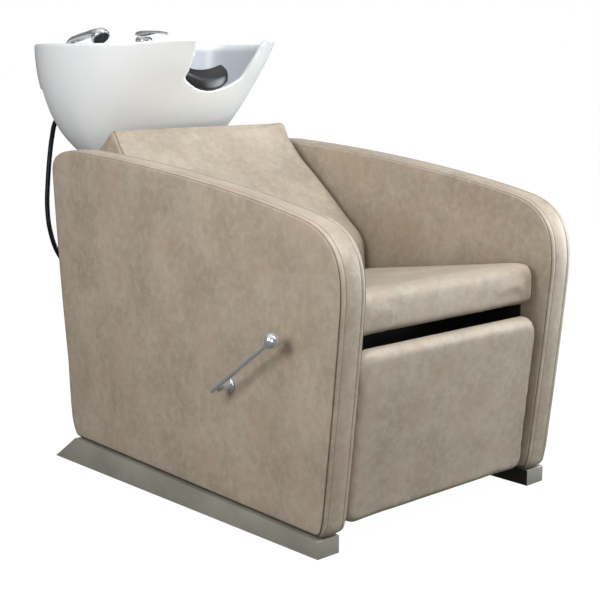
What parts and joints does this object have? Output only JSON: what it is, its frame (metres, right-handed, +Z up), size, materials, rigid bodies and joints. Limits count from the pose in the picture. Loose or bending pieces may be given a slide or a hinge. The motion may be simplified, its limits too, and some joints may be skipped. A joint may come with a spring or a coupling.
{
  "type": "shampoo backwash unit",
  "caption": "Upholstered salon backwash chair with a tilting ceramic basin, neck rest, mixer, docked hand shower and a lever-raised leg rest on steel base rails.",
  "frame": {"origin": "on the floor, in the middle of the unit's bounding box", "axes": "+Z up, -Y the way the sitter faces, +X to the right of someone who faces the front of the unit"},
  "size_m": [0.713, 1.2586, 0.9616],
  "materials": {
    "leather": "mottled taupe imitation leather, satin, fine grain",
    "steel": "brushed stainless steel",
    "chrome": "polished chrome plate",
    "ceramic": "white glazed ceramic",
    "rubber": "black rubber, semi-gloss",
    "black_paint": "black powder coat",
    "wood": "raw plywood and battens",
    "plastic": "black matt plastic",
    "brass": "turned brass"
  },
  "bodies": {
    "chair": {"base_rail_left": "steel", "base_rail_right": "steel", "front_crossbar": "black_paint", "rear_crossbar": "black_paint", "side_panel_left": "leather", "side_panel_right": "leather", "frame_plate_left": "black_paint", "frame_plate_right": "black_paint", "lever_bush": "plastic", "seat_cushion": "leather", "seat_deck": "wood", "seat_batten_left": "wood", "seat_batten_right": "wood", "seat_apron": "black_paint", "back_cushion": "leather", "back_board": "wood", "back_batten_left": "wood", "back_batten_right": "wood", "legrest_rod": "steel", "basin_column_left": "black_paint", "basin_column_right": "black_paint", "basin_bracket": "black_paint", "rear_cover": "plastic", "cover_screw_1": "chrome", "cover_screw_2": "chrome", "cover_screw_3": "chrome", "cover_screw_4": "chrome", "tilt_pin": "steel"},
    "leg_rest": {"legrest_cushion": "leather", "legrest_board": "black_paint", "legrest_bracket_left": "black_paint", "legrest_bracket_right": "black_paint"},
    "lever": {"lever_hub": "chrome", "lever_shaft": "steel", "lever_rod": "chrome", "lever_knob": "chrome", "lever_crank": "black_paint"},
    "link": {"leg_link": "black_paint"},
    "basin": {"basin_bowl": "ceramic", "neck_rest": "rubber", "basin_carrier": "black_paint", "waste_flange": "chrome", "waste_nut": "plastic", "waste_tail": "plastic", "mixer_body": "chrome", "mixer_nut": "brass", "inlet_hot": "brass", "inlet_cold": "brass", "shower_holder": "chrome", "holder_nut": "brass", "shower_hose": "rubber", "hose_nut": "brass"},
    "strainer": {"hair_strainer": "chrome"},
    "mixer_swivel": {"mixer_cap": "chrome"},
    "mixer_handle": {"mixer_lever": "chrome"},
    "handset": {"handset_body": "chrome", "spray_face": "plastic", "handset_tail": "rubber"}
  },
  "joints": [
    {"name": "legrest_swing", "type": "hinge", "parent": "chair", "child": "leg_rest", "pos_m": [0.0245, -0.54974, 0.303], "axis": [-1, 0, 0], "range_deg": [0, 80]},
    {"name": "lever_turn", "type": "hinge", "parent": "chair", "child": "lever", "pos_m": [-0.3055, -0.33274, 0.28], "axis": [-1, 0, 0], "range_deg": [0, 80]},
    {"name": "link_pivot", "type": "hinge", "parent": "lever", "child": "link", "pos_m": [-0.2281, -0.30404, 0.239], "axis": [-1, 0, 0], "range_deg": [-80, 0]},
    {"name": "basin_tilt", "type": "hinge", "parent": "chair", "child": "basin", "pos_m": [0.0245, 0.31426, 0.595], "axis": [1, 0, 0], "range_deg": [-10, 6]},
    {"name": "mixer_turn", "type": "hinge", "parent": "basin", "child": "mixer_swivel", "pos_m": [0.1245, 0.50926, 0.936], "axis": [0, 0, 1], "range_deg": [-45, 45]},
    {"name": "mixer_lift", "type": "hinge", "parent": "mixer_swivel", "child": "mixer_handle", "pos_m": [0.1245, 0.52826, 0.9445], "axis": [-1, 0, 0], "range_deg": [0, 22]},
    {"name": "handset_lift", "type": "slide", "parent": "basin", "child": "handset", "axis": [0, 0, 1], "range_m": [0, 0.15]},
    {"name": "strainer_lift", "type": "slide", "parent": "basin", "child": "strainer", "axis": [0, 0, 1], "range_m": [0, 0.03]}
  ],
  "couplings": [
    {"joint": "lever_turn", "follows": "legrest_swing", "ratio": 1},
    {"joint": "link_pivot", "follows": "legrest_swing", "ratio": -1}
  ]
}
